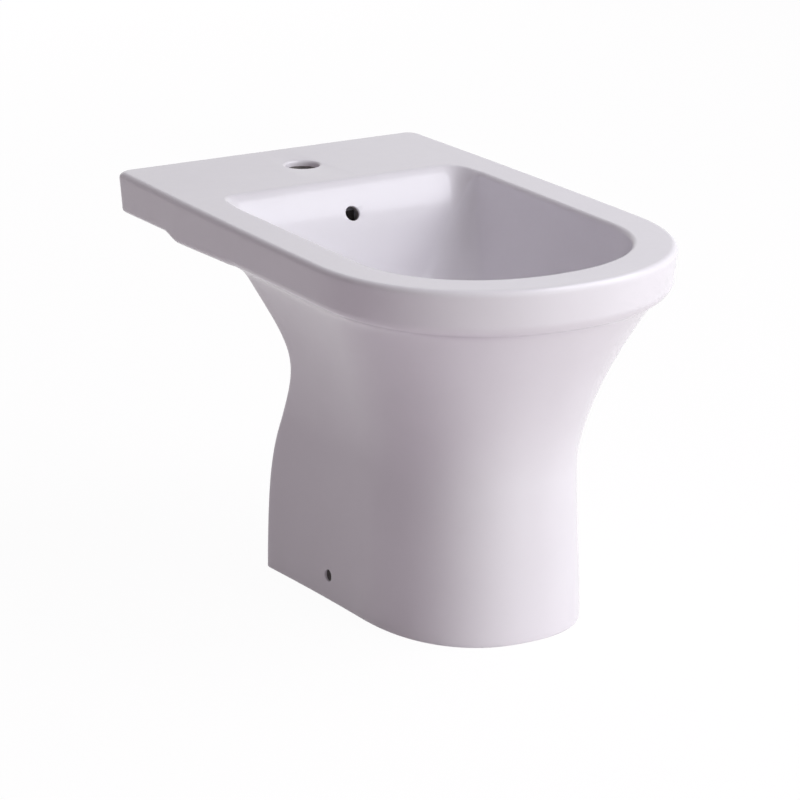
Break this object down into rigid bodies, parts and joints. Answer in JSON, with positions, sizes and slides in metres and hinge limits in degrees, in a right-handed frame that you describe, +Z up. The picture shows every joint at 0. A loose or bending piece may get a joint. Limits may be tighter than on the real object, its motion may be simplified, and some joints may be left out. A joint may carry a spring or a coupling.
{
  "type": "floor standing bidet",
  "caption": "Floor standing china bidet: D-shaped rim and tap deck on a hollow waisted pedestal, with an overflow and a push-to-close waste.",
  "frame": {"origin": "on the floor, under the middle of the rim's length and width", "axes": "+Z up, +Y towards the wall, -Y the bowl's rounded front, +X to the right of someone who faces the wall"},
  "size_m": [0.375, 0.61, 0.385],
  "materials": {
    "glazed_china": "glossy white glaze with a faint cool tint",
    "waste_chrome": "polished plating",
    "black_rubber": "matt moulded rubber",
    "white_plastic": "satin moulded plastic",
    "bracket_plastic": "satin glass-filled plastic",
    "brass": "turned, unplated",
    "spring_steel": "bright drawn wire",
    "screw_steel": "zinc plated"
  },
  "bodies": {
    "base": {"china_body": "glazed_china", "waste_body": "waste_chrome", "waste_top_seal": "black_rubber", "waste_lower_gasket": "black_rubber", "waste_slip_washer": "white_plastic", "waste_back_nut": "brass", "latch_housing": "white_plastic", "latch_nut": "brass", "latch_bush": "white_plastic", "return_spring": "spring_steel", "fixing_bracket_left": "bracket_plastic", "fixing_bracket_right": "bracket_plastic", "bracket_nut_left": "brass", "bracket_nut_right": "brass", "fixing_sleeve_left": "white_plastic", "fixing_sleeve_right": "white_plastic", "fixing_screw_left": "screw_steel", "fixing_screw_right": "screw_steel"},
    "plug": {"plug_cap": "waste_chrome", "plug_seal": "black_rubber", "plug_stem": "brass"},
    "latch": {"latch_rotor": "brass"}
  },
  "joints": [
    {"name": "plug_press", "type": "slide", "parent": "base", "child": "plug", "axis": [0, 0, -1], "range_m": [0, 0.008], "stiffness_N_per_m": 600, "springref_m": -0.008, "deforming": ["return_spring"]},
    {"name": "latch_turn", "type": "hinge", "parent": "plug", "child": "latch", "pos_m": [0, 0.005, 0.203], "axis": [0, 0, 1], "range_deg": [0, 30]}
  ],
  "couplings": [
    {"joint": "latch_turn", "follows": "plug_press", "rad_per_m": 65.4}
  ]
}
